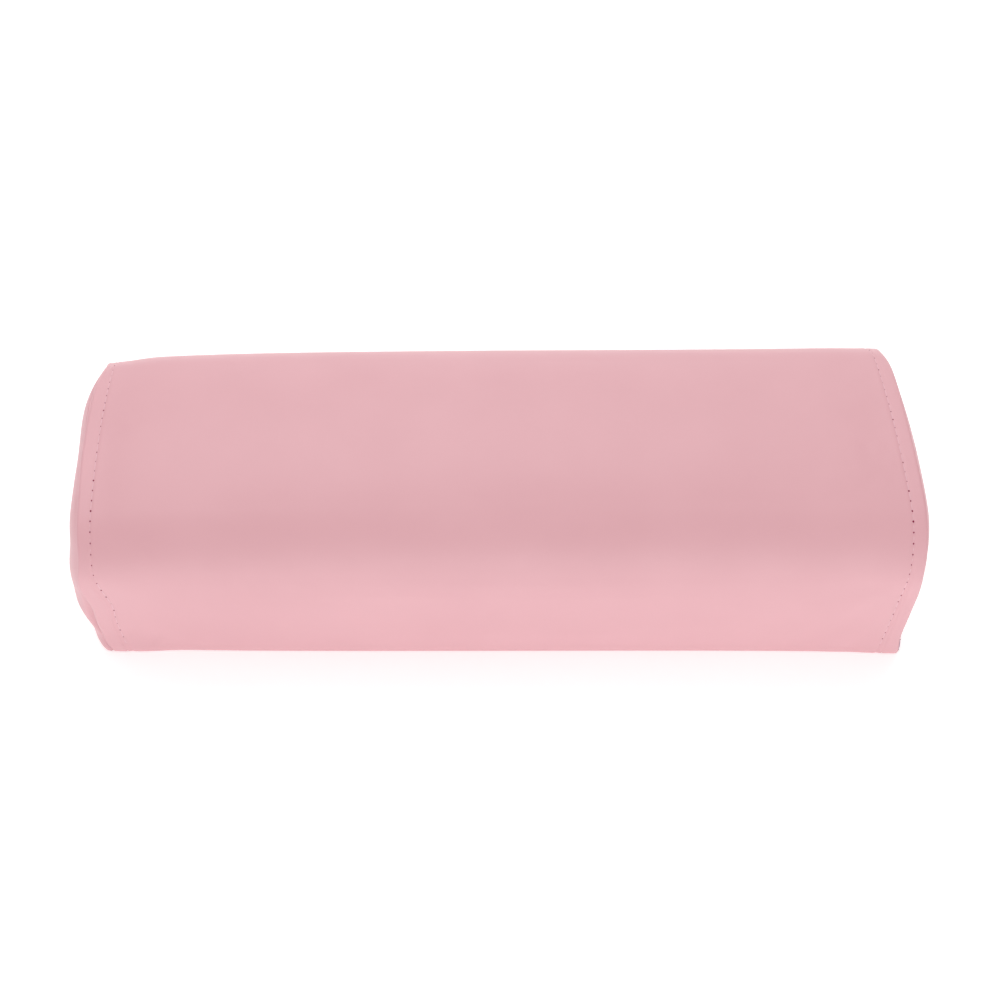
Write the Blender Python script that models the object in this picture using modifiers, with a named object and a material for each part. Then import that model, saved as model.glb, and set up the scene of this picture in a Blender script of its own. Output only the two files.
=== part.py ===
"""Manicure hand rest: a sewn synthetic leather cover on a loaf-shaped foam core.

The long axis runs along X, the front faces -Y and the flat base stands on Z = 0.
Five separate solids: the main panel over the arch, two end panels, the base panel and the foam core.
Every panel is a sheet of its own, and its seam allowances are folded the way the sewn cover folds them.
"""
import math

import bmesh
import bpy
from mathutils import Vector

MM = 0.001

# Overall form of the cushion, measured on the outside of the cover
SEAM_LENGTH = 297.0 * MM
DEPTH = 106.0 * MM
HEIGHT = 68.0 * MM
SHOULDER_RADIUS = 22.0 * MM
ROOF_RADIUS = 165.0 * MM
END_DROP = 2.0 * MM
BASE_PULL = 3.0 * MM
END_BULGE = 3.0 * MM

# Sheet and seams
SHEET = 1.0 * MM
CLEARANCE = 0.3 * MM
FOLD_RADIUS = 0.85 * MM
ALLOWANCE = 8.0 * MM
STITCH_MARGIN = 4.7 * MM
BAND_RISE = 0.4 * MM
BAND_SLOPE = 1.8 * MM
PANEL_BEND = 1.5 * MM
FACE_RECESS = 0.6 * MM
WALL_FOOT = 1.5 * MM
BASE_FLANGE = 8.0 * MM
CORNER_CLIP = 2.0 * MM
BASE_CORNER_RADIUS = 6.0 * MM
FACE_CENTRE_HEIGHT = 30.0 * MM
SMALL_STEP = 0.01 * MM

# Foam core
FOAM_CHAMFER = 2.0 * MM
FOAM_END_CHAMFER = 0.75 * BASE_CORNER_RADIUS
FOAM_EASE = 4.0 * MM

# Fineness of the curved surfaces
WALL_ROWS = 3
SHOULDER_SEGMENTS = 7
ROOF_SEGMENTS = 14
FOLD_SEGMENTS = 4
BEND_SEGMENTS = 3
MIDDLE_STATIONS = 8
FOAM_STATIONS = 8
BOTTOM_SEGMENTS = 8
FACE_RINGS = (0.94, 0.82, 0.64, 0.42, 0.2)
SHARP_EDGE = math.radians(50)

# Cross-section: an upright wall, a shoulder arc and a wide roof arc that meet without a corner
SHOULDER_Y = DEPTH / 2 - SHOULDER_RADIUS
ROOF_HALF_ANGLE = math.asin(SHOULDER_Y / (ROOF_RADIUS - SHOULDER_RADIUS))
WALL = HEIGHT - ROOF_RADIUS + (ROOF_RADIUS - SHOULDER_RADIUS) * math.cos(ROOF_HALF_ANGLE)
SHOULDER_TURN = math.pi / 2 - ROOF_HALF_ANGLE
HALF_ARCH = WALL + SHOULDER_RADIUS * SHOULDER_TURN + ROOF_RADIUS * ROOF_HALF_ANGLE

# Depths below the outer skin, in the order in which the layers lie
HEM_INSET = SHEET / 2 + 2 * FOLD_RADIUS
END_FLANGE_INSET = HEM_INSET - BAND_RISE + SHEET + CLEARANCE
BASE_FLANGE_INSET = HEM_INSET + SHEET + CLEARANCE
FOAM_INSET = SHEET + CLEARANCE
FOAM_INSET_AT_END = END_FLANGE_INSET + SHEET / 2 + CLEARANCE
FOAM_INSET_AT_BASE = BASE_FLANGE_INSET + SHEET / 2 + CLEARANCE

# Lengths along X, from the middle to each layer
FOLD_START = SEAM_LENGTH / 2 - SHEET / 2 - FOLD_RADIUS
FACE_X = SEAM_LENGTH / 2 - FACE_RECESS - SHEET / 2
BASE_HALF_LENGTH = FACE_X - BASE_PULL - SHEET - CLEARANCE
FOAM_HALF_LENGTH = BASE_HALF_LENGTH - SHEET / 2 - CLEARANCE
CLIP_HEIGHT = BASE_FLANGE + CORNER_CLIP

LEATHER_COLOR = (0.80, 0.44, 0.48, 1.0)
FOAM_COLOR = (0.88, 0.86, 0.78, 1.0)


def height_share(x):
    """Height of the arch at a station over its height in the middle: both ends are a little lower."""
    share = min(abs(x) / (SEAM_LENGTH / 2), 1.0)
    return 1.0 - END_DROP / HEIGHT * share ** 3


def section(along):
    """Point (y, z) and outward normal (y, z) of the outer skin, by the length from the front foot."""
    if along > HALF_ARCH:
        y, z, ny, nz = section(2 * HALF_ARCH - along)
        return -y, z, -ny, nz
    if along < WALL:
        return -DEPTH / 2, along, -1.0, 0.0
    turn = (along - WALL) / SHOULDER_RADIUS
    if turn < SHOULDER_TURN:
        ny, nz = -math.cos(turn), math.sin(turn)
        return SHOULDER_RADIUS * ny - SHOULDER_Y, WALL + SHOULDER_RADIUS * nz, ny, nz
    lean = (HALF_ARCH - along) / ROOF_RADIUS
    ny, nz = -math.sin(lean), math.cos(lean)
    return ROOF_RADIUS * ny, HEIGHT - ROOF_RADIUS + ROOF_RADIUS * nz, ny, nz


def skin(x, along, inset):
    """Point of the section at a station, moved inward from the outer skin by inset."""
    y, z, ny, nz = section(along)
    return Vector((x, y - ny * inset, z * height_share(x) - nz * inset))


def pulled_in(z):
    """How far the ends are drawn in towards the middle at a height above the base."""
    return BASE_PULL * (1.0 - min(max(z, 0.0) / HEIGHT, 1.0)) ** 2


def arch_lengths(wall_heights):
    """Lengths along the arch from the front foot to the back foot, close together on the shoulders."""
    roof_start = WALL + SHOULDER_RADIUS * SHOULDER_TURN
    front = wall_heights + levels(WALL, roof_start, SHOULDER_SEGMENTS)
    roof = levels(roof_start, 2 * HALF_ARCH - roof_start, ROOF_SEGMENTS)
    back = [2 * HALF_ARCH - along for along in reversed(front)]
    return front + roof + [2 * HALF_ARCH - roof_start] + back


def levels(start, stop, count):
    """Evenly spaced values from start up to, but not including, stop."""
    return [start + (stop - start) * k / count for k in range(count)]


def hem_steps():
    """Profile of a hem beyond the fold line: (outward, inward, is_allowance)."""
    steps = []
    for k in range(1, FOLD_SEGMENTS + 1):
        turn = math.pi * k / FOLD_SEGMENTS
        steps.append((FOLD_RADIUS * math.sin(turn), FOLD_RADIUS * (1 - math.cos(turn)), False))
    for share in (0.5, 1.0):
        steps.append((-ALLOWANCE * share, 2 * FOLD_RADIUS, True))
    return steps


def new_object(name, mesh_maker, material):
    """Make a mesh object from a bmesh builder and put it in the part's collection."""
    bm = bmesh.new()
    mesh_maker(bm)
    mesh = bpy.data.meshes.new(name)
    bm.to_mesh(mesh)
    bm.free()
    mesh.materials.append(material)
    mesh.shade_smooth()
    mesh.set_sharp_from_angle(angle=SHARP_EDGE)
    obj = bpy.data.objects.new(name, mesh)
    bpy.data.collections["manicure_hand_rest"].objects.link(obj)
    return obj


def add_sheet_thickness(obj):
    """Give a sheet its thickness, half to each side of the modelled surface."""
    solidify = obj.modifiers.new("Sheet thickness", "SOLIDIFY")
    solidify.thickness = SHEET
    solidify.offset = 0.0
    solidify.use_even_offset = True


def make_material(name, color, roughness):
    """A plain Principled BSDF material."""
    material = bpy.data.materials.new(name)
    material.use_nodes = True
    shader = material.node_tree.nodes["Principled BSDF"]
    shader.inputs["Base Color"].default_value = color
    shader.inputs["Roughness"].default_value = roughness
    shader.inputs["Metallic"].default_value = 0.0
    return material


def panel_lengths():
    """Lengths along the arch at which the main panel and the end panels have their rows."""
    return arch_lengths([WALL_FOOT, CLIP_HEIGHT / 2] + levels(CLIP_HEIGHT, WALL, WALL_ROWS))


def cover_columns():
    """Columns of the main panel, left to right: (side, x, rise, outward, inward, is_allowance)."""
    inner = FOLD_START - ALLOWANCE - STITCH_MARGIN
    flat = [inner, FOLD_START - ALLOWANCE, FOLD_START - STITCH_MARGIN]
    raised = [FOLD_START - STITCH_MARGIN + BAND_SLOPE, FOLD_START - CORNER_CLIP, FOLD_START]
    right = [(1, x, 0.0) for x in flat] + [(1, x, BAND_RISE) for x in raised]
    middle = [(0, -inner + 2 * inner * k / MIDDLE_STATIONS, 0.0) for k in range(1, MIDDLE_STATIONS)]
    left = [(-1, x, rise) for _, x, rise in reversed(right)]
    fold = [(1, FOLD_START, BAND_RISE) + step for step in hem_steps()]
    faces = [column + (0.0, 0.0, False) for column in left + middle + right]
    turned = [(-1,) + column[1:] for column in reversed(fold)]
    return turned + faces + fold


def cover_rows():
    """Rows of the main panel, front hem to back hem: (along, down, inward, is_allowance)."""
    lengths = panel_lengths()
    front = [(lengths[0],) + step for step in reversed(hem_steps())]
    back = [(lengths[-1],) + step for step in hem_steps()]
    return front + [(along, 0.0, 0.0, False) for along in lengths] + back


def build_main_panel(bm):
    """Main panel: one sheet over the arch, turned under along all four edges, its corners clipped."""
    columns = cover_columns()
    rows = cover_rows()
    points = {}
    for i, (side, reach, rise, out, col_in, _) in enumerate(columns):
        for j, (along, down, row_in, _) in enumerate(rows):
            x_flat = side * (reach + out) if side else reach
            point = skin(x_flat, along, SHEET / 2 - rise + col_in + row_in)
            pull_share = side * reach / FOLD_START if side else reach / FOLD_START
            point.x -= pull_share * pulled_in(point.z)
            point.z -= down
            points[i, j] = bm.verts.new(point)
    for i in range(len(columns) - 1):
        for j in range(len(rows) - 1):
            if keeps_cover_face(columns[i:i + 2], rows[j:j + 2]):
                corners = [points[i, j], points[i + 1, j], points[i + 1, j + 1], points[i, j + 1]]
                bm.faces.new(corners)
    bmesh.ops.delete(bm, geom=[v for v in bm.verts if not v.link_faces], context="VERTS")


def keeps_cover_face(columns, rows):
    """Whether a face of the main panel is there: where two hems meet, the allowances are clipped."""
    column_hem = any(column[4] > 0 for column in columns)
    row_hem = any(row[2] > 0 for row in rows)
    if column_hem and row_hem:
        return False
    column_allowance = any(column[5] for column in columns)
    low = min(section(row[0])[1] for row in rows)
    if column_allowance and low < CLIP_HEIGHT - SMALL_STEP:
        return False
    row_allowance = any(row[3] for row in rows)
    at_end = max(abs(column[1]) for column in columns) > FOLD_START - CORNER_CLIP + SMALL_STEP
    return not (row_allowance and at_end)


def close_ring(points):
    """Close an arch-shaped row of points with evenly spaced points along its bottom edge."""
    back, front = points[-1], points[0]
    bottom = [back.lerp(front, k / BOTTOM_SEGMENTS) for k in range(1, BOTTOM_SEGMENTS)]
    return points + bottom


def build_end_panel(bm, side):
    """End panel: a slightly bulged sheet with its allowance bent back under the main panel."""
    lengths = panel_lengths()
    bend_start = FACE_X - PANEL_BEND
    stages = [(FOLD_START - ALLOWANCE, END_FLANGE_INSET), (bend_start, END_FLANGE_INSET)]
    for out, inward in bend_steps():
        stages.append((bend_start + PANEL_BEND * out, END_FLANGE_INSET + PANEL_BEND * inward))
    rings = []
    for reach, inset in stages:
        arch = [skin(side * reach, along, inset) for along in lengths]
        for point in arch:
            point.x -= side * pulled_in(point.z)
        rings.append(close_ring(arch))
    rim = rings[-1]
    centre = Vector((side * FACE_X, 0.0, FACE_CENTRE_HEIGHT))
    for share in FACE_RINGS:
        ring = []
        for point in rim:
            moved = centre.lerp(point, share)
            reach = FACE_X - pulled_in(moved.z) + END_BULGE * (1 - share ** 2)
            ring.append(Vector((side * reach, moved.y, moved.z)))
        rings.append(ring)
    clipped = len([along for along in lengths if along < CLIP_HEIGHT - SMALL_STEP])
    arch_faces = range(len(lengths) - 1)
    flange_faces = range(clipped, len(lengths) - 1 - clipped)
    loops = [[bm.verts.new(point) for point in ring] for ring in rings]
    bridge(bm, loops[0], loops[1], flange_faces)
    for stage in range(1, BEND_SEGMENTS + 1):
        bridge(bm, loops[stage], loops[stage + 1], arch_faces)
    for outer, inner in zip(loops[BEND_SEGMENTS + 1:], loops[BEND_SEGMENTS + 2:]):
        bridge(bm, outer, inner, range(len(rim)))
    bm.faces.new(loops[-1])
    bmesh.ops.delete(bm, geom=[v for v in bm.verts if not v.link_faces], context="VERTS")
    bmesh.ops.recalc_face_normals(bm, faces=bm.faces)


def bridge(bm, one, other, places):
    """Join two rings of vertices with faces at the given places round the ring."""
    for k in places:
        following = (k + 1) % len(one)
        bm.faces.new([one[k], one[following], other[following], other[k]])


def bend_steps():
    """Quarter turn of a bent sheet: (share of the radius outward, share of the radius inward)."""
    turns = [math.pi / 2 * k / BEND_SEGMENTS for k in range(1, BEND_SEGMENTS + 1)]
    return [(math.sin(turn), 1 - math.cos(turn)) for turn in turns]


def build_base_panel(bm):
    """Base panel: a flat sheet with rounded corners, its edges bent up inside the walls."""
    half_depth = DEPTH / 2 - BASE_FLANGE_INSET
    stages = [(0.0, BASE_FLANGE), (0.0, SHEET / 2 + PANEL_BEND)]
    for down, inward in bend_steps():
        stages.append((PANEL_BEND * inward, SHEET / 2 + PANEL_BEND * (1 - down)))
    loops = []
    for inward, z in stages:
        radius = BASE_CORNER_RADIUS - inward
        ring = rounded_rectangle(BASE_HALF_LENGTH - inward, half_depth - inward, radius)
        loops.append([bm.verts.new((x, y, z)) for x, y in ring])
    for outer, inner in zip(loops, loops[1:]):
        bridge(bm, outer, inner, range(len(outer)))
    bm.faces.new(loops[-1])
    bmesh.ops.recalc_face_normals(bm, faces=bm.faces)


def rounded_rectangle(half_length, half_depth, radius):
    """Outline points of a rectangle with rounded corners, anticlockwise seen from above."""
    points = []
    corners = ((1, 1, 0), (-1, 1, 1), (-1, -1, 2), (1, -1, 3))
    for sx, sy, quarter in corners:
        for k in range(FOLD_SEGMENTS + 1):
            turn = math.pi / 2 * (quarter + k / FOLD_SEGMENTS)
            x = sx * (half_length - radius) + radius * math.cos(turn)
            y = sy * (half_depth - radius) + radius * math.sin(turn)
            points.append((x, y))
    return points


def build_foam_core(bm):
    """Foam core: a loaf-shaped block, eased where the folded seams press into it."""
    foot = SHEET + CLEARANCE
    eased_wall = [foot + FOAM_CHAMFER, BASE_FLANGE + FOAM_EASE / 4]
    lengths = arch_lengths(eased_wall + [BASE_FLANGE + FOAM_EASE])
    eased_end = FOLD_START - ALLOWANCE - CLEARANCE
    near = eased_end - FOAM_EASE - BASE_PULL
    plain = [(x, 0.0) for x in levels(-near, near, FOAM_STATIONS) + [near]]
    full = FOAM_INSET_AT_END - FOAM_INSET
    right = [(eased_end - BASE_PULL, full), (FOAM_HALF_LENGTH - FOAM_END_CHAMFER, full)]
    right += [(FOAM_HALF_LENGTH, full + FOAM_END_CHAMFER)]
    left = [(-x, extra) for x, extra in reversed(right)]
    loops = []
    for x, extra in left + plain + right:
        arch = [foam_point(x, along, extra) for along in lengths]
        low_front, low_back = arch[0].copy(), arch[-1].copy()
        low_front.y += FOAM_CHAMFER
        low_back.y -= FOAM_CHAMFER
        at_end = abs(x) > FOAM_HALF_LENGTH - FOAM_END_CHAMFER / 2
        low_front.z = low_back.z = foot + (FOAM_CHAMFER / 2 if at_end else 0.0)
        ring = close_ring([low_front] + arch + [low_back])
        loops.append([bm.verts.new(point) for point in ring])
    for one, other in zip(loops, loops[1:]):
        bridge(bm, one, other, range(len(one)))
    bm.faces.new(loops[0])
    bm.faces.new(loops[-1])
    bmesh.ops.recalc_face_normals(bm, faces=bm.faces)


def foam_point(x, along, extra):
    """Point of the foam under the cover, set further in behind the folded allowances."""
    z = section(along)[1]
    behind_flange = FOAM_INSET_AT_BASE - FOAM_INSET if z < BASE_FLANGE + FOAM_EASE / 2 else 0.0
    return skin(x, along, FOAM_INSET + max(extra, behind_flange))


def main():
    for obj in list(bpy.data.objects):
        bpy.data.objects.remove(obj, do_unlink=True)
    collection = bpy.data.collections.new("manicure_hand_rest")
    bpy.context.scene.collection.children.link(collection)
    sheets = {
        "top_cover": build_main_panel,
        "end_panel_left": lambda bm: build_end_panel(bm, -1),
        "end_panel_right": lambda bm: build_end_panel(bm, 1),
        "base_panel": build_base_panel,
    }
    for name, maker in sheets.items():
        sheet = new_object(name, maker, make_material(name + "_leather", LEATHER_COLOR, 0.5))
        add_sheet_thickness(sheet)
    new_object("foam_core", build_foam_core, make_material("foam", FOAM_COLOR, 0.95))


main()
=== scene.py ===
"""Visual model of the manicure hand rest.

The padded cover with its folded end seams and topstitching, the materials, the light and the camera.
"""
import math

import bpy
import numpy as np
from mathutils import Matrix, Vector


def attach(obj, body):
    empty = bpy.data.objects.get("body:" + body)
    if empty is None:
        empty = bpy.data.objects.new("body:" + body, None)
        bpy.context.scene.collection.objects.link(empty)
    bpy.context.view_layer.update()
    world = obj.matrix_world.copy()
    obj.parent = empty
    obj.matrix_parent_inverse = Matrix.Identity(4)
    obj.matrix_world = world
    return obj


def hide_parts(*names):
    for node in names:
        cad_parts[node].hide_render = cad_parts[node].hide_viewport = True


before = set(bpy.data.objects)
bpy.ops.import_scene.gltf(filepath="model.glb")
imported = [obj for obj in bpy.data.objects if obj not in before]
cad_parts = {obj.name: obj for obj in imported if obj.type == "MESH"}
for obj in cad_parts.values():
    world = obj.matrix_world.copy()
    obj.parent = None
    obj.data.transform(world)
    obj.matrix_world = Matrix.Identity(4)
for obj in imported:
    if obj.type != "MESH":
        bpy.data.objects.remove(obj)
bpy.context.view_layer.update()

MM = 0.001
LEFT, RIGHT = 0, 1

# Form of the cushion, the same as the solid part's
SEAM_LENGTH = 297.0 * MM
DEPTH = 106.0 * MM
HEIGHT = 68.0 * MM
SHOULDER_RADIUS = 22.0 * MM
ROOF_RADIUS = 165.0 * MM
SHEET = 1.0 * MM
FOLD_RADIUS = 0.85 * MM
ALLOWANCE = 8.0 * MM
HALF_LENGTH = SEAM_LENGTH / 2
FOLD_START = HALF_LENGTH - SHEET / 2 - FOLD_RADIUS
STITCH_X = 142.45 * MM

# The two ends differ a little, as sewn ends do: (left, right)
TOP_DROP = (3.4 * MM, 0.0 * MM)
NARROWING = (2.0 * MM, -1.6 * MM)
FOOT_PULL = (4.6 * MM, 2.3 * MM)
END_TWIST = (-2.8 * MM, -0.1 * MM)
FOOT_FLARE = (1.3 * MM, 0.3 * MM)
CORNER_DROOP = (1.3 * MM, 0.8 * MM)

# How far these differences spread from the ends
TAPER_EVEN = 0.3
TAPER_POWER = 4
FLARE_WIDTH = 9.0 * MM
FLARE_REACH = (118.0 * MM, 146.0 * MM)
BACK_CORNER = 150.0 * MM
DROOP_WIDTH = 12.0 * MM
DROOP_MARGIN = 1.0 * MM

# Sideways waver of the end seams, each wave as (height, arch length from the nearer foot, width)
LEFT_WAVER = (
    (1.5 * MM, 29.0 * MM, 7.5 * MM),
    (-0.6 * MM, 48.0 * MM, 7.0 * MM),
    (1.0 * MM, 0.0 * MM, 3.0 * MM),
)
RIGHT_WAVER = (
    (0.35 * MM, 72.0 * MM, 16.0 * MM),
    (-0.3 * MM, 33.0 * MM, 10.0 * MM),
)
WAVER_START = 120.0 * MM

# Width of the folded band over its plain width: (left, right), with places as arch lengths
BAND_SHOULDER = (0.80, 0.82)
BAND_FOOT = (0.60, 0.26)
BAND_FOOT_FADE = ((38.0 * MM, 54.0 * MM), (34.0 * MM, 50.0 * MM))
BAND_ROOF = (0.12, 0.07)
BAND_ROOF_RISE = ((70.0 * MM, 100.0 * MM), (60.0 * MM, 80.0 * MM))
BAND_SWELL = ((0.14, 33.0 * MM, 8.0 * MM), (0.40, 0.0 * MM, 8.0 * MM))
BAND_DIP = ((0.24, BACK_CORNER, 9.0 * MM), (0.15, BACK_CORNER, 6.0 * MM))

# Grid of the visible cover: an even middle, then runs of (start, stop, step) in millimetres up to the fold
MIDDLE_REACH = 125.0 * MM
MIDDLE_STATIONS = 84
STATION_RUNS = ((126.2, 137.5, 1.3), (138.0, 141.2, 0.5), (141.2, 143.8, 0.2), (143.8, 147.1, 0.45))
ROW_STEP = 1.3 * MM
FOLD_STEPS = 8
FOOT_STEPS = 6
FOOT_ALLOWANCE = 0.6 * ALLOWANCE
FOOT_LIFT_TOP = 12.0 * MM

# Relief of the cover round its seams
GROOVE_DEPTH = 0.22 * MM
GROOVE_WIDTH = 0.7 * MM
PUCKER = 0.07 * MM
PUCKER_WIDTH = 1.6 * MM
BAND_STEP = 0.05 * MM
BAND_STEP_RISE = (0.2 * MM, 2.0 * MM)
HOLLOW_DEPTH = (1.1 * MM, 0.3 * MM)
HOLLOW_PLACE = -1.0 * MM
HOLLOW_WIDTH = 9.0 * MM
CREASE_START = -134.0 * MM
CREASE_LENGTH = 17.0 * MM
CREASE_CLIMB = 20.0 * MM
CREASE_HEIGHT = 0.22 * MM
CREASE_WIDTH = 2.6 * MM
CREASE_RISE = (0.0, 0.3)
CREASE_FADE = (0.6, 1.1)
DENT_DEPTH = 0.25 * MM
DENT_WIDTH = 4.0 * MM
DENT_X = 133.0 * MM
DENT_ALONG = 3.0 * MM

# End panels: (left, right) where the two differ
END_REACH = (151.8 * MM, 152.5 * MM)
END_RECESS = 1.2 * MM
END_INSET = SHEET + 2.2 * FOLD_RADIUS
END_FLOOR = 0.8 * MM
END_SKIRT = 5.0 * MM
END_STEEPNESS = 9
END_CROWN = 0.2
END_CENTRE_HEIGHT = 31.0 * MM
END_ARCH_POINTS = 150
END_FLOOR_POINTS = 60
END_RIM_SHARES = np.linspace(1, 0.8, 12)
END_FACE_SHARES = np.linspace(0.8, 0.04, 16)[1:]
LOW_BULGE = (3.6 * MM, 0.0 * MM)
LOW_BULGE_RISE = (4.0 * MM, 22.0 * MM)
LOW_BULGE_FADE = (24.0 * MM, 48.0 * MM)
HIGH_BULGE = (1.8 * MM, 0.0 * MM)
HIGH_BULGE_RISE = (38.0 * MM, 56.0 * MM)
HIGH_BULGE_BACK = (-10.0 * MM, 20.0 * MM)

# Front edge of the left end panel, and the corner that it pushes out at the foot
FRONT_EDGE = (38.0 * MM, 48.0 * MM)
LIP_DEPTH = (0.8 * MM, 0.0 * MM)
LIP_FADE = (30.0 * MM, 50.0 * MM)
CORNER_REACH = (0.2 * MM, 0.0 * MM)
CORNER_FORWARD = (2.8 * MM, 0.0 * MM)
CORNER_TIP = 0.6
CORNER_TIP_FADE = (2.0 * MM, 6.0 * MM)
CORNER_FADE = (8.0 * MM, 30.0 * MM)
CORNER_RING_RISE = (-0.02, 0.03)
CORNER_RING_FADE = (0.05, 0.3)

# Foam block: its end faces, the edges round them and the body between
FOAM_SETBACK = 7.0 * MM
FOAM_BEVEL = 4.0 * MM
FOAM_STATIONS = 24
FOAM_FACE_INSET = 9.0 * MM
FOAM_EDGE_INSET = 6.0 * MM
FOAM_INSET = 5.0 * MM
FOAM_FACE_FLOOR = 6.0 * MM
FOAM_FLOOR = 3.5 * MM
FOAM_ARCH_POINTS = 60
FOAM_FLOOR_POINTS = 20

# Topstitching
STITCH_PITCH = (4.25 * MM, 3.85 * MM)
STITCH_START = (0.7 * MM, 1.95 * MM)
THREAD_RADIUS = 0.2 * MM
THREAD_RISE = 0.16 * MM
THREAD_SINK = 0.12 * MM
THREAD_TIP = 0.55
THREAD_SEGMENTS = 6
THREAD_SIDES = 6

# Needle holes, dark with painted shade inside them: uneven in size, and larger on the shoulder, which deepens
# the painted shade there
HOLE_RADIUS = 0.34 * MM
HOLE_SHARE = 0.90
HOLE_SWELL = (0.30, 60.0 * MM, 22.0 * MM)
HOLE_LEAST = 0.55
HOLE_SPREAD = 0.7
HOLE_SEED = 7
HOLE_FLATNESS = 0.25
HOLE_RINGS = 4
HOLE_SIDES = 8

# Corner tack at the right fold, its thread darkened with painted shade
TACK_RADIUS = 0.25 * MM
TACK_ALONG = (2.6 * MM, 9.2 * MM)
TACK_INSET = 0.4 * FOLD_RADIUS
TACK_OUT = 1.1 * MM
TACK_TILT = 0.7

# Padding
PUFF_CAP = 1.6 * MM
CLOTH_PRESSURE = 4.0
CLOTH_FRAMES = 20
COARSE_COLUMNS = 72
COARSE_ROWS = 48

# Camera, measured from the middle of the object: degrees, metres and pixels of a 1000-pixel picture
PICTURE = 1000.0
VIEW_ELEVATION = math.radians(50.46)
VIEW_YAW = math.radians(1.0)
VIEW_ROLL = math.radians(-0.57)
VIEW_DISTANCE = 544.4 * MM
FOCAL_PIXELS = 1440.5
VIEW_SHIFT_X = -1.38 * MM
VIEW_SHIFT_Y = 3.53 * MM
VIEW_HEIGHT = 30.0 * MM
SENSOR = 36.0
CLIP_START = 10.0 * MM

# Colours
LEATHER_DARK = (0.725, 0.367, 0.406, 1)
LEATHER_LIGHT = (0.745, 0.383, 0.422, 1)
THREAD_PINK = (0.80, 0.50, 0.55, 1)
# Pale thread darkened to mauve for the corner tack: painted shade in the fold's corner
TACK_THREAD_SHADE = (0.50, 0.33, 0.40, 1)
# Colour of the needle holes: painted shade inside the holes
HOLE_SHADE_COLOUR = (0.22, 0.012, 0.05, 1)
FOAM_CREAM = (0.88, 0.86, 0.78, 1)
FLOOR_WHITE = (0.93, 0.93, 0.93, 1)
GLOW_WHITE = (0.90, 1.0, 0.98, 1)
WHITE = (1, 1, 1, 1)

# Light of the white studio
WORLD_LIGHT = 0.94
SIDE_FALL = 0.8
FLOOR_GLOW = 0.50
FLOOR_LIFT = 0.35
FLOOR_HALF = 6.0
FLOOR_SINK = 0.2 * MM

# Lamps: name, place, target, (width, height) and power
LAMPS = (
    ("back_softbox", (0, 0.75, 1.3), (0, 0, 0.03), (1.2, 0.8), 4.0),
    ("low_back_softbox", (0, 0.9, 0.42), (0, 0, 0.05), (1.2, 0.25), 0.6),
    ("high_left_softbox", (-0.8, 0.4, 1.3), (0, 0, 0.03), (0.9, 0.9), 1.0),
    ("near_left_softbox", (-0.45, 0.25, 0.7), (-0.05, 0, 0.05), (0.5, 0.5), 0.30),
    ("front_softbox", (0.05, -0.7, 0.15), (0, 0, 0.03), (0.35, 0.2), 0.31),
    ("front_right_softbox", (0.5, -0.7, 0.3), (0, 0, 0.03), (0.4, 0.3), 0.24),
)

SHOULDER_Y = DEPTH / 2 - SHOULDER_RADIUS
ROOF_HALF_ANGLE = math.asin(SHOULDER_Y / (ROOF_RADIUS - SHOULDER_RADIUS))
WALL = HEIGHT - ROOF_RADIUS + (ROOF_RADIUS - SHOULDER_RADIUS) * math.cos(ROOF_HALF_ANGLE)
SHOULDER_TURN = math.pi / 2 - ROOF_HALF_ANGLE
ROOF_START = WALL + SHOULDER_RADIUS * SHOULDER_TURN
HALF_ARCH = ROOF_START + ROOF_RADIUS * ROOF_HALF_ANGLE


def bump(value, centre, width):
    """Smooth bump of height one round a centre."""
    return np.exp(-((value - centre) / width) ** 2)


def ease(value, start, stop):
    """Smooth step from nought at start to one at stop."""
    share = np.clip((value - start) / (stop - start), 0.0, 1.0)
    return share * share * (3 - 2 * share)


def wave(value, shape):
    """Smooth bump given as (height, centre, width)."""
    height, centre, width = shape
    return height * bump(value, centre, width)


def by_side(x, pair):
    """Value for the left or the right half of the cushion."""
    return np.where(x < 0, pair[0], pair[1])


def section(along):
    """Points (y, z) and outward normals (y, z) of the middle section, by the length from the front foot."""
    along = np.asarray(along, dtype=float)
    back = along > HALF_ARCH
    near = np.where(back, 2 * HALF_ARCH - along, along)
    turn = np.clip((near - WALL) / SHOULDER_RADIUS, 0.0, SHOULDER_TURN)
    lean = (HALF_ARCH - np.maximum(near, ROOF_START)) / ROOF_RADIUS
    on_wall = near < WALL
    on_roof = near > ROOF_START
    ny = np.where(on_roof, -np.sin(lean), -np.cos(turn))
    nz = np.where(on_roof, np.cos(lean), np.sin(turn))
    y = np.where(on_roof, ROOF_RADIUS * ny, SHOULDER_RADIUS * ny - SHOULDER_Y)
    z = np.where(on_roof, HEIGHT - ROOF_RADIUS + ROOF_RADIUS * nz, WALL + SHOULDER_RADIUS * nz)
    z = np.where(on_wall, near, z)
    mirror = np.where(back, -1.0, 1.0)
    return y * mirror, z, ny * mirror, nz


def from_foot(along):
    """Arch length from the nearer foot."""
    return np.minimum(along, 2 * HALF_ARCH - along)


def skin(x, along, inset):
    """Points of the plain outer skin at stations x and arch lengths along, moved inward by inset."""
    y, z, ny, nz = section(along)
    reach = np.minimum(np.abs(x) / HALF_LENGTH, 1.0)
    share = TAPER_EVEN * reach + (1 - TAPER_EVEN) * reach ** TAPER_POWER
    y = y * (1 - by_side(x, NARROWING) / (DEPTH / 2) * share) - ny * inset
    z = z * (1 - by_side(x, TOP_DROP) / HEIGHT * share) - nz * inset
    pull = by_side(x, FOOT_PULL) * np.clip(1 - z / HEIGHT, 0, 1) ** 2
    twist = by_side(x, END_TWIST) * y / (DEPTH / 2)
    x = x - np.sign(x) * reach * pull + reach ** 2 * twist
    return np.stack([x, y, z], axis=-1)


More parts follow.
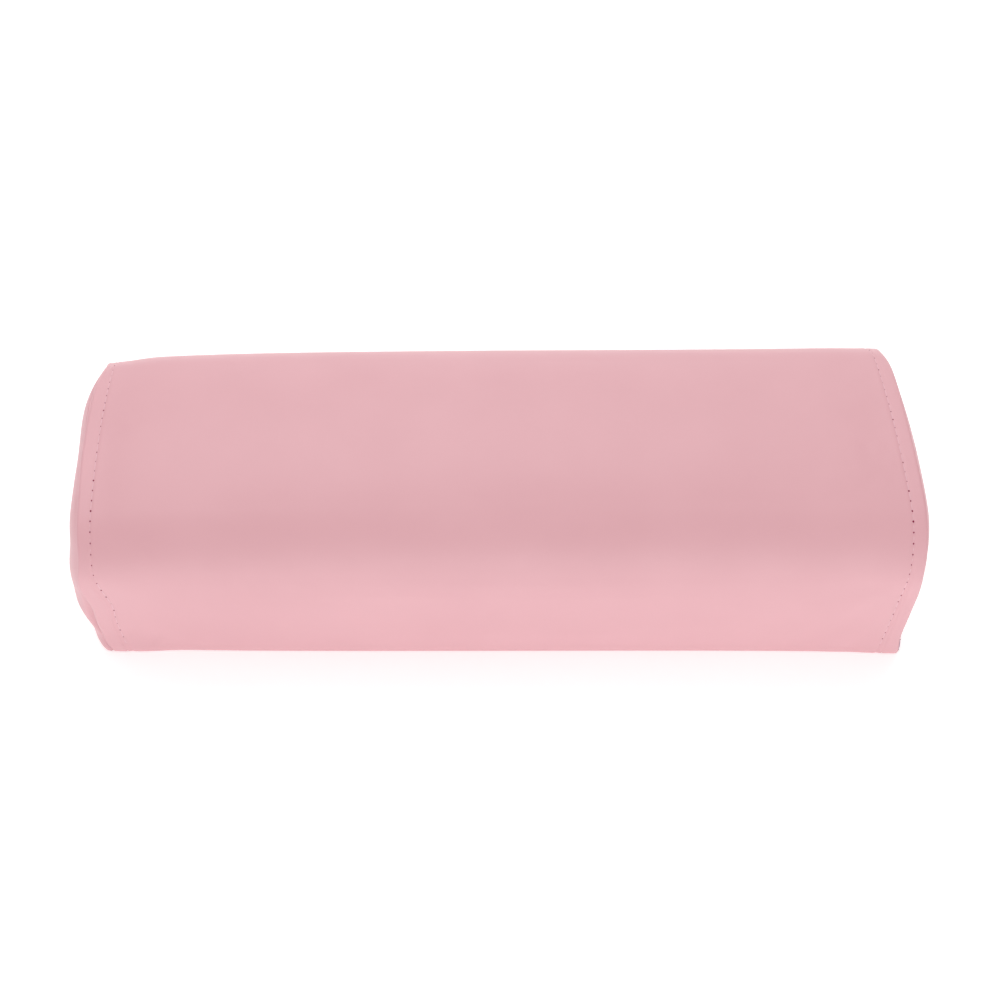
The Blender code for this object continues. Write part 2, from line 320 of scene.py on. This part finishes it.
def margin_share(end, along):
    """Width of the folded band over its plain width: wide at the feet, narrower over the shoulders."""
    near = from_foot(along)
    foot = BAND_FOOT[end] * (1 - ease(near, *BAND_FOOT_FADE[end])) + wave(near, BAND_SWELL[end])
    roof = BAND_ROOF[end] * ease(near, *BAND_ROOF_RISE[end])
    return BAND_SHOULDER[end] + foot + roof - wave(along, BAND_DIP[end])


def end_shift(x, along):
    """Sideways waver of the end seams."""
    near = from_foot(along)
    left = sum(wave(near, shape) for shape in LEFT_WAVER)
    right = sum(wave(near, shape) for shape in RIGHT_WAVER)
    return np.where(x < 0, left, right) * ease(np.abs(x), WAVER_START, STITCH_X)


def place(x, along, inset):
    """Points of the finished shape: the plain skin with its bands' own widths and the seams' waver."""
    x = np.asarray(x, dtype=float)
    along = np.asarray(along, dtype=float)
    beyond = np.maximum(np.abs(x) - STITCH_X, 0.0)
    stretch = np.where(x < 0, margin_share(LEFT, along), margin_share(RIGHT, along))
    x_band = np.sign(x) * (np.abs(x) - beyond + beyond * stretch)
    points = skin(x_band, along, inset)
    points[..., 0] += end_shift(x, along)
    flare = by_side(x, FOOT_FLARE) * bump(from_foot(along), 0.0, FLARE_WIDTH)
    flare = flare * ease(np.abs(x), *FLARE_REACH)
    points[..., 1] += np.where(along > HALF_ARCH, flare, -flare)
    band = ease(np.abs(x), STITCH_X - DROOP_MARGIN, FOLD_START)
    points[..., 2] -= by_side(x, CORNER_DROOP) * bump(along, BACK_CORNER, DROOP_WIDTH) * band
    return points


def skin_normals(x, along):
    """Outward directions of the plain skin."""
    _, _, ny, nz = section(along)
    return np.stack([np.zeros_like(ny + x * 0), ny + x * 0, nz + x * 0], axis=-1)


def mesh_object(name, points, faces, material):
    """Smooth-shaded mesh object in the scene."""
    mesh = bpy.data.meshes.new(name)
    mesh.from_pydata([tuple(p) for p in points], [], faces)
    mesh.update()
    mesh.shade_smooth()
    if material:
        mesh.materials.append(material)
    obj = bpy.data.objects.new(name, mesh)
    bpy.context.scene.collection.objects.link(obj)
    return obj


def grid_faces(columns, rows, closed=False):
    """Quads of a grid whose points run row by row within each column."""
    faces = []
    for i in range(columns - 1):
        for j in range(rows if closed else rows - 1):
            k = (j + 1) % rows
            faces.append((i * rows + j, (i + 1) * rows + j, (i + 1) * rows + k, i * rows + k))
    return faces


def inflate(points, faces, pinned):
    """Displacements of a coarse sheet after air pressure from inside, held at the pinned points."""
    obj = mesh_object("inflated_sheet", points, faces, None)
    group = obj.vertex_groups.new(name="held")
    group.add([int(k) for k in np.flatnonzero(pinned)], 1.0, "REPLACE")
    cloth = obj.modifiers.new("Cloth", "CLOTH")
    settings = cloth.settings
    settings.quality = 6
    settings.mass = 0.3
    settings.tension_stiffness = 40
    settings.compression_stiffness = 40
    settings.shear_stiffness = 20
    settings.bending_stiffness = 2
    settings.use_pressure = True
    settings.uniform_pressure_force = CLOTH_PRESSURE
    settings.effector_weights.gravity = 0.0
    settings.vertex_group_mass = group.name
    settings.pin_stiffness = 1.0
    cloth.point_cache.frame_start = 1
    cloth.point_cache.frame_end = CLOTH_FRAMES
    scene = bpy.context.scene
    for step in range(1, CLOTH_FRAMES + 1):
        scene.frame_set(step)
    graph = bpy.context.evaluated_depsgraph_get()
    swollen = obj.evaluated_get(graph).to_mesh()
    moved = np.empty(len(points) * 3)
    swollen.vertices.foreach_get("co", moved)
    obj.evaluated_get(graph).to_mesh_clear()
    scene.frame_set(1)
    bpy.data.objects.remove(obj, do_unlink=True)
    return moved.reshape(-1, 3) - points


def sample_grid(values, u, v):
    """Bilinear reading of a grid of vectors at places u and v, from 0 to 1."""
    columns, rows = values.shape[:2]
    a = np.clip(u, 0, 1) * (columns - 1)
    b = np.clip(v, 0, 1) * (rows - 1)
    i = np.minimum(a.astype(int), columns - 2)
    j = np.minimum(b.astype(int), rows - 2)
    s = (a - i)[..., None]
    t = (b - j)[..., None]
    low = values[i, j] * (1 - t) + values[i, j + 1] * t
    high = values[i + 1, j] * (1 - t) + values[i + 1, j + 1] * t
    return low * (1 - s) + high * s


def cover_puff():
    """Swelling of the main panel between the two stitch rows: a coarse grid of displacement vectors."""
    x = np.linspace(-STITCH_X, STITCH_X, COARSE_COLUMNS)
    along = np.linspace(0.0, 2 * HALF_ARCH, COARSE_ROWS)
    grid_x, grid_s = np.meshgrid(x, along, indexing="ij")
    points = place(grid_x, grid_s, SHEET / 2).reshape(-1, 3)
    edge = np.zeros((COARSE_COLUMNS, COARSE_ROWS), dtype=bool)
    edge[[0, -1], :] = True
    edge[:, [0, -1]] = True
    shift = inflate(points, grid_faces(COARSE_COLUMNS, COARSE_ROWS), edge.reshape(-1))
    normal = skin_normals(grid_x, grid_s).reshape(-1, 3)
    outward = np.clip((shift * normal).sum(axis=1, keepdims=True), 0.0, PUFF_CAP)
    return (normal * outward).reshape(COARSE_COLUMNS, COARSE_ROWS, 3)


def cover_stations():
    """Stations along X of the visible cover, close together at the seams."""
    middle = np.linspace(-MIDDLE_REACH, MIDDLE_REACH, MIDDLE_STATIONS)
    runs = [np.arange(*run) * MM for run in STATION_RUNS]
    right = np.concatenate(runs + [[FOLD_START]])
    return np.concatenate([-right[::-1], middle, right])


def seam_relief(x, along):
    """Height added at the end seams: groove, puckers, folded band, the hollow beside it, crease and dent."""
    away = np.abs(x) - STITCH_X
    row = np.cos(2 * math.pi * (along - by_side(x, STITCH_START)) / by_side(x, STITCH_PITCH))
    groove = -GROOVE_DEPTH * bump(away, 0.0, GROOVE_WIDTH)
    pucker = -PUCKER * row * bump(away, 0.0, PUCKER_WIDTH)
    band = BAND_STEP * ease(away, *BAND_STEP_RISE)
    low = -by_side(x, HOLLOW_DEPTH)
    hollow = low * bump(away, HOLLOW_PLACE, HOLLOW_WIDTH) * ease(along, WALL, ROOF_START)
    share = (x - CREASE_START) / CREASE_LENGTH
    crease = CREASE_HEIGHT * bump(along - CREASE_CLIMB * share, 0.0, CREASE_WIDTH)
    crease = crease * ease(share, *CREASE_RISE) * (1 - ease(share, *CREASE_FADE))
    dent = -DENT_DEPTH * bump(x, DENT_X, DENT_WIDTH) * bump(along, DENT_ALONG, DENT_WIDTH)
    return groove + pucker + band + hollow + crease + dent


def build_cover(material, puff):
    """Main panel over the arch: fine grid, seam relief, folded ends and turned-under feet."""
    rows = np.linspace(0.0, 2 * HALF_ARCH, round(2 * HALF_ARCH / ROW_STEP) + 1)
    stations = cover_stations()
    grid_x, grid_s = np.meshgrid(stations, rows, indexing="ij")
    base = place(grid_x, grid_s, SHEET / 2)
    normal = skin_normals(grid_x, grid_s)
    u = (grid_x / STITCH_X + 1) / 2
    v = grid_s / (2 * HALF_ARCH)
    base = base + sample_grid(puff, u, v) + normal * seam_relief(grid_x, grid_s)[..., None]
    columns = list(base)
    for side, edge in ((1, columns[-1]), (-1, columns[0])):
        turned = fold_columns(edge, normal[-1 if side > 0 else 0], side)
        columns = columns + turned if side > 0 else turned[::-1] + columns
    grid = np.stack(columns)
    grid = add_feet(grid)
    count, length = grid.shape[:2]
    obj = mesh_object("main_cover", grid.reshape(-1, 3), grid_faces(count, length), material)
    thicken(obj)
    return obj


def fold_columns(edge, normal, side):
    """Columns that carry the sheet round its end fold and back inside."""
    turned = []
    for turn in np.linspace(0, math.pi, FOLD_STEPS + 1)[1:]:
        out = FOLD_RADIUS * math.sin(turn) * side
        inward = FOLD_RADIUS * (1 - math.cos(turn))
        turned.append(edge + np.array([out, 0, 0]) - normal * inward)
    turned.append(turned[-1] - np.array([side * ALLOWANCE / 2, 0, 0]))
    return turned


def add_feet(grid):
    """Rows that turn the front and back feet of the sheet inward under the cushion's wall."""
    front, back = [], []
    for turn in np.linspace(0, math.pi, FOOT_STEPS + 1)[1:]:
        down = FOLD_RADIUS * math.sin(turn)
        inward = FOLD_RADIUS * (1 - math.cos(turn))
        front.append(grid[:, 0] + np.array([0, inward, -down]))
        back.append(grid[:, -1] + np.array([0, -inward, -down]))
    front.append(front[-1] + np.array([0, 0, FOOT_ALLOWANCE]))
    back.append(back[-1] + np.array([0, 0, FOOT_ALLOWANCE]))
    rows = [row[:, None] for row in front[::-1]] + [grid] + [row[:, None] for row in back]
    raised = np.concatenate(rows, axis=1)
    foot = np.clip(1 - raised[..., 2:3] / FOOT_LIFT_TOP, 0, 1)
    return raised + np.array([0, 0, FOLD_RADIUS + SHEET / 2]) * foot


def thicken(obj):
    """Give a sheet its thickness, half to each side."""
    solidify = obj.modifiers.new("Sheet thickness", "SOLIDIFY")
    solidify.thickness = SHEET
    solidify.offset = 0.0


def closed_loop(x, inset, arch_points, floor_points, floor_height):
    """Loop of points round the cross-section at a station, its lower edge straight."""
    along = np.linspace(0.0, 2 * HALF_ARCH, arch_points)
    arch = place(np.full_like(along, x), along, inset)
    share = np.linspace(0, 1, floor_points)[1:-1, None]
    loop = np.concatenate([arch, arch[-1] * (1 - share) + arch[0] * share])
    loop[:, 2] = np.maximum(loop[:, 2], floor_height)
    return loop


def build_end(name, side, material):
    """End panel: a loaf-shaped sheet that swells out just past the fold of the main panel."""
    end = LEFT if side < 0 else RIGHT
    reach = END_REACH[end]
    seam_x = side * (HALF_LENGTH - END_RECESS)
    rim = closed_loop(seam_x, END_INSET, END_ARCH_POINTS, END_FLOOR_POINTS, END_FLOOR)
    front = ease(-rim[:, 1], *FRONT_EDGE)
    rim[:, 1] += LIP_DEPTH[end] * front * (1 - ease(rim[:, 2], *LIP_FADE))
    centre = np.array([rim[:, 0].mean(), rim[:, 1].mean(), END_CENTRE_HEIGHT])
    rings = [rim - np.array([side * END_SKIRT, 0, 0])]
    for share in np.concatenate([END_RIM_SHARES, END_FACE_SHARES]):
        ring = centre + (rim - centre) * share
        swell = (1 - share ** END_STEEPNESS) * (1 - END_CROWN * share ** 2)
        ring[:, 0] = rim[:, 0] + (side * reach - rim[:, 0]) * swell
        low = LOW_BULGE[end] * (1 - ease(ring[:, 2], *LOW_BULGE_FADE)) * ease(ring[:, 2], *LOW_BULGE_RISE)
        high = HIGH_BULGE[end] * ease(ring[:, 2], *HIGH_BULGE_RISE) * ease(ring[:, 1], *HIGH_BULGE_BACK)
        ring[:, 0] = side * np.minimum(np.abs(ring[:, 0]) + low + high, reach)
        out = front * ease(1 - share, *CORNER_RING_RISE) * (1 - ease(1 - share, *CORNER_RING_FADE))
        tip = out * (1 - ease(rim[:, 2], *CORNER_TIP_FADE))
        forward = out * (1 - ease(rim[:, 2], *CORNER_FADE)) + CORNER_TIP * tip
        ring[:, 0] += side * CORNER_REACH[end] * tip
        ring[:, 1] -= CORNER_FORWARD[end] * forward
        ring[:, 2] -= (ring[:, 2] - rim[:, 2]) * tip
        rings.append(ring)
    points = np.concatenate(rings + [rings[-1].mean(axis=0)[None]])
    count = len(rim)
    faces = grid_faces(len(rings), count, closed=True)
    last = (len(rings) - 1) * count
    faces += [(last + k, len(points) - 1, last + (k + 1) % count) for k in range(count)]
    if side < 0:
        faces = [face[::-1] for face in faces]
    obj = mesh_object(name, points, faces, material)
    thicken(obj)
    return obj


def build_foam(material):
    """Foam block inside the cover, with its ends set back from the folded seams."""
    half = HALF_LENGTH - FOAM_SETBACK
    body = np.linspace(-half + FOAM_BEVEL, half - FOAM_BEVEL, FOAM_STATIONS)
    rings = [(-half, FOAM_FACE_INSET, FOAM_FACE_FLOOR), (-half, FOAM_EDGE_INSET, FOAM_FLOOR)]
    rings += [(x, FOAM_INSET, FOAM_FLOOR) for x in body]
    rings += [(half, FOAM_EDGE_INSET, FOAM_FLOOR), (half, FOAM_FACE_INSET, FOAM_FACE_FLOOR)]
    loops = [closed_loop(x, inset, FOAM_ARCH_POINTS, FOAM_FLOOR_POINTS, floor) for x, inset, floor in rings]
    count = len(loops[0])
    points = np.concatenate(loops)
    faces = grid_faces(len(loops), count, closed=True)
    faces.append(tuple(range(count)))
    last = (len(loops) - 1) * count
    faces.append(tuple(last + k for k in range(count))[::-1])
    return mesh_object("foam_block", points, faces, material)


def seam_points(side):
    """Points of a stitch row, the directions out of the surface, and the lengths along the arch."""
    end = LEFT if side < 0 else RIGHT
    pitch = STITCH_PITCH[end]
    along = np.arange(STITCH_START[end] + pitch, 2 * HALF_ARCH - pitch, pitch)
    x = np.full_like(along, side * STITCH_X)
    normal = skin_normals(x, along)
    height = SHEET / 2 + seam_relief(x, along)
    points = place(x, along, SHEET / 2) + normal * height[:, None]
    return points, normal, along


def tack_points(side):
    """Two points of the corner tack on the folded edge near the front foot, and the directions out."""
    along = np.array(TACK_ALONG)
    x = np.full_like(along, side * FOLD_START)
    points = place(x, along, TACK_INSET) + np.array([side * TACK_OUT, 0, 0])
    out = skin_normals(x, along) * TACK_TILT + np.array([side * TACK_TILT, 0, 0])
    return points, out


def circle(centre, radius, across, up, count):
    """Points of a circle in the plane of two directions."""
    turns = [2 * math.pi * n / count for n in range(count)]
    return [centre + radius * (math.cos(turn) * across + math.sin(turn) * up) for turn in turns]


def build_thread(name, points, normal, radius, material):
    """Topstitch thread: one low arch from each needle hole to the next."""
    sides = THREAD_SIDES
    verts, faces = [], []
    for start, stop, out in zip(points, points[1:], normal):
        run = stop - start
        run_length = np.linalg.norm(run)
        run = run / run_length
        across = np.cross(run, out)
        base = len(verts)
        for k in range(THREAD_SEGMENTS + 1):
            share = k / THREAD_SEGMENTS
            arch = math.sin(math.pi * share)
            centre = start + run * run_length * share + out * (THREAD_RISE * arch - THREAD_SINK)
            thick = radius * (THREAD_TIP + (1 - THREAD_TIP) * arch)
            verts += circle(centre, thick, across, out, sides)
        for k in range(THREAD_SEGMENTS):
            for n in range(sides):
                a = base + k * sides + n
                b = base + k * sides + (n + 1) % sides
                faces.append((a, b, b + sides, a + sides))
        faces.append(tuple(base + n for n in range(sides))[::-1])
        faces.append(tuple(base + THREAD_SEGMENTS * sides + n for n in range(sides)))
    return mesh_object(name, verts, faces, material)


def build_holes(name, points, normal, sizes, material):
    """Needle holes: small dimples, dark with painted shade, that the thread goes down into."""
    sides = HOLE_SIDES
    across = np.array([1.0, 0, 0])
    verts, faces = [], []
    for point, out, radius in zip(points, normal, sizes):
        run = np.cross(out, across)
        base = len(verts)
        for ring in range(HOLE_RINGS + 1):
            tilt = math.pi * ring / HOLE_RINGS
            centre = point + out * radius * HOLE_FLATNESS * math.cos(tilt)
            if ring in (0, HOLE_RINGS):
                verts.append(centre)
            else:
                verts += circle(centre, radius * math.sin(tilt), across, run, sides)
        first = base + 1
        last = first + (HOLE_RINGS - 2) * sides
        bottom = last + sides
        for n in range(sides):
            following = (n + 1) % sides
            faces.append((base, first + n, first + following))
            for a in range(first, last, sides):
                faces.append((a + n, a + sides + n, a + sides + following, a + following))
            faces.append((last + n, bottom, last + following))
    return mesh_object(name, verts, faces, material)


def node(tree, kind, spot, settings=None, **values):
    """New shader node at a spot in the tree, with its inputs and its properties set."""
    made = tree.nodes.new(kind)
    made.location = spot
    for key, value in values.items():
        setattr(made, key, value)
    for key, value in (settings or {}).items():
        made.inputs[key].default_value = value
    return made


def new_material(name, settings):
    """Material, its node tree and its shader, with the shader's inputs set."""
    material = bpy.data.materials.new(name)
    material.use_nodes = True
    shader = material.node_tree.nodes["Principled BSDF"]
    for key, value in settings.items():
        shader.inputs[key].default_value = value
    return material, material.node_tree, shader


def leather_material():
    """Soft pink synthetic leather: satin coat, faint grain, slight mottling."""
    material, tree, shader = new_material("pink_leather", {"Roughness": 0.5, "Specular IOR Level": 0.9})
    coords = node(tree, "ShaderNodeTexCoord", (-1200, 0))
    mottle = node(tree, "ShaderNodeTexNoise", (-900, 200), {"Scale": 30.0, "Detail": 3.0})
    colours = node(tree, "ShaderNodeValToRGB", (-600, 200))
    for stop, position, colour in zip(colours.color_ramp.elements, (0.3, 0.7), (LEATHER_DARK, LEATHER_LIGHT)):
        stop.position = position
        stop.color = colour
    grain = node(tree, "ShaderNodeTexVoronoi", (-900, -200), {"Scale": 1400.0}, feature="SMOOTH_F1")
    soft = node(tree, "ShaderNodeTexNoise", (-900, -450), {"Scale": 55.0, "Detail": 2.0})
    fine = node(tree, "ShaderNodeBump", (-300, -200), {"Strength": 0.12, "Distance": 0.0002})
    wide = node(tree, "ShaderNodeBump", (-600, -450), {"Strength": 0.25, "Distance": 0.001})
    for texture in (mottle, grain, soft):
        tree.links.new(coords.outputs["Object"], texture.inputs["Vector"])
    tree.links.new(mottle.outputs["Fac"], colours.inputs["Fac"])
    tree.links.new(colours.outputs["Color"], shader.inputs["Base Color"])
    tree.links.new(grain.outputs["Distance"], fine.inputs["Height"])
    tree.links.new(soft.outputs["Fac"], wide.inputs["Height"])
    tree.links.new(wide.outputs["Normal"], fine.inputs["Normal"])
    tree.links.new(fine.outputs["Normal"], shader.inputs["Normal"])
    return material


def plain_material(name, colour, roughness, specular=0.5):
    """Principled material of one colour with a slight unevenness in its surface."""
    settings = {"Base Color": colour, "Roughness": roughness, "Specular IOR Level": specular}
    material, tree, shader = new_material(name, settings)
    coords = node(tree, "ShaderNodeTexCoord", (-900, 0))
    noise = node(tree, "ShaderNodeTexNoise", (-600, 0), {"Scale": 900.0})
    relief = node(tree, "ShaderNodeBump", (-300, 0), {"Strength": 0.4, "Distance": 0.0003})
    tree.links.new(coords.outputs["Object"], noise.inputs["Vector"])
    tree.links.new(noise.outputs["Fac"], relief.inputs["Height"])
    tree.links.new(relief.outputs["Normal"], shader.inputs["Normal"])
    return material


def floor_material():
    """White floor of a light table: it keeps the object's shadow, and it lights the object from below."""
    settings = {"Base Color": FLOOR_WHITE, "Roughness": 0.9, "Specular IOR Level": 0.0}
    material, tree, shader = new_material("white_floor", {**settings, "Emission Color": GLOW_WHITE})
    rays = node(tree, "ShaderNodeLightPath", (-700, -200))
    glow = node(tree, "ShaderNodeMapRange", (-350, -200), {"To Min": FLOOR_GLOW, "To Max": FLOOR_LIFT})
    tree.links.new(rays.outputs["Is Camera Ray"], glow.inputs["Value"])
    tree.links.new(glow.outputs["Result"], shader.inputs["Emission Strength"])
    return material


def build_floor():
    """White floor that runs far past the picture, just under the cushion."""
    half = FLOOR_HALF
    corners = [(-half, -half, 0), (half, -half, 0), (half, half, 0), (-half, half, 0)]
    floor = mesh_object("floor", corners, [(0, 1, 2, 3)], floor_material())
    floor.location.z = -FLOOR_SINK


def build_world():
    """White world that is dimmer towards both ends, and plain white where the camera sees it."""
    world = bpy.data.worlds.new("studio")
    bpy.context.scene.world = world
    world.use_nodes = True
    tree = world.node_tree
    tree.nodes.clear()
    rays = node(tree, "ShaderNodeLightPath", (-600, 200))
    direction = node(tree, "ShaderNodeTexCoord", (-1200, 0))
    split = node(tree, "ShaderNodeSeparateXYZ", (-1000, 0))
    sideways = node(tree, "ShaderNodeMath", (-800, 0), operation="MULTIPLY")
    fall = {1: -SIDE_FALL * WORLD_LIGHT, 2: WORLD_LIGHT}
    strength = node(tree, "ShaderNodeMath", (-600, 0), fall, operation="MULTIPLY_ADD")
    lit = node(tree, "ShaderNodeBackground", (-300, 0), {"Color": WHITE})
    seen = node(tree, "ShaderNodeBackground", (-300, -200), {"Color": WHITE, "Strength": 1.0})
    mix = node(tree, "ShaderNodeMixShader", (0, 0))
    out = node(tree, "ShaderNodeOutputWorld", (300, 0))
    tree.links.new(direction.outputs["Generated"], split.inputs["Vector"])
    tree.links.new(split.outputs["X"], sideways.inputs[0])
    tree.links.new(split.outputs["X"], sideways.inputs[1])
    tree.links.new(sideways.outputs["Value"], strength.inputs[0])
    tree.links.new(strength.outputs["Value"], lit.inputs["Strength"])
    tree.links.new(rays.outputs["Is Camera Ray"], mix.inputs[0])
    tree.links.new(lit.outputs["Background"], mix.inputs[1])
    tree.links.new(seen.outputs["Background"], mix.inputs[2])
    tree.links.new(mix.outputs["Shader"], out.inputs["Surface"])


def add_light(name, spot, target, size, power):
    """Rectangular area lamp, (width, height) in size, that looks at a target."""
    data = bpy.data.lights.new(name, "AREA")
    data.shape = "RECTANGLE"
    data.size, data.size_y = size
    data.energy = power
    lamp = bpy.data.objects.new(name, data)
    bpy.context.scene.collection.objects.link(lamp)
    lamp.location = spot
    lamp.rotation_mode = "QUATERNION"
    lamp.rotation_quaternion = (Vector(target) - Vector(spot)).to_track_quat("-Z", "Y")


def build_camera():
    """Camera above and in front of the cushion, at the photographed angle."""
    se, ce = math.sin(VIEW_ELEVATION), math.cos(VIEW_ELEVATION)
    turn = Matrix.Rotation(-VIEW_YAW, 3, "Z")
    spot = turn @ Vector((
        -VIEW_SHIFT_X,
        -VIEW_DISTANCE * ce - VIEW_SHIFT_Y * se,
        VIEW_HEIGHT + VIEW_DISTANCE * se - VIEW_SHIFT_Y * ce,
    ))
    right = turn @ Vector((1, 0, 0))
    up = turn @ Vector((0, se, ce))
    back = right.cross(up)
    sr, cr = math.sin(VIEW_ROLL), math.cos(VIEW_ROLL)
    level_right = right * cr - up * sr
    level_up = right * sr + up * cr
    data = bpy.data.cameras.new("photo_camera")
    data.sensor_width = SENSOR
    data.lens = SENSOR * FOCAL_PIXELS / PICTURE
    data.clip_start = CLIP_START
    camera = bpy.data.objects.new("photo_camera", data)
    bpy.context.scene.collection.objects.link(camera)
    pose = Matrix((level_right, level_up, back)).transposed().to_4x4()
    pose.translation = spot
    camera.matrix_world = pose
    bpy.context.scene.camera = camera


leather = leather_material()
thread = plain_material("pale_pink_thread", THREAD_PINK, 0.6)
# Corner tack thread: the stitch thread's colour darkened, painted shade in the fold's corner
shaded_thread = plain_material("tack_thread_painted_shade", TACK_THREAD_SHADE, 0.7)
# Needle holes and tack holes: a dark material that paints the shade inside the holes
hole_shade = plain_material("needle_hole_shadow", HOLE_SHADE_COLOUR, 0.9, specular=0.0)
foam = plain_material("cream_foam", FOAM_CREAM, 0.95)

puff = cover_puff()
cover = build_cover(leather, puff)
left_end = build_end("end_cover_left", -1, leather)
right_end = build_end("end_cover_right", 1, leather)
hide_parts("top_cover")
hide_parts("end_panel_left")
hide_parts("end_panel_right")
foam_block = build_foam(foam)
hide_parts("foam_core")
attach(foam_block, "root")
made = [cover, left_end, right_end]
for name, side in (("left", -1), ("right", 1)):
    points, normal, along = seam_points(side)
    uneven = HOLE_LEAST + HOLE_SPREAD * np.random.default_rng(HOLE_SEED).random(len(along))
    sizes = HOLE_RADIUS * (HOLE_SHARE + wave(along, HOLE_SWELL)) * uneven
    made.append(build_thread("stitch_thread_" + name, points, normal, THREAD_RADIUS, thread))
    made.append(build_holes("needle_holes_" + name, points, normal, sizes, hole_shade))
points, normal = tack_points(1)
made.append(build_thread("corner_tack_thread", points, normal, TACK_RADIUS, shaded_thread))
made.append(build_holes("corner_tack_holes", points, normal, (HOLE_RADIUS, HOLE_RADIUS), hole_shade))
for piece in made:
    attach(piece, "root")
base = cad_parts["base_panel"].data
base.materials.clear()
base.materials.append(leather)

build_floor()
build_world()
for lamp in LAMPS:
    add_light(*lamp)
build_camera()
bpy.context.scene.view_settings.view_transform = "Standard"
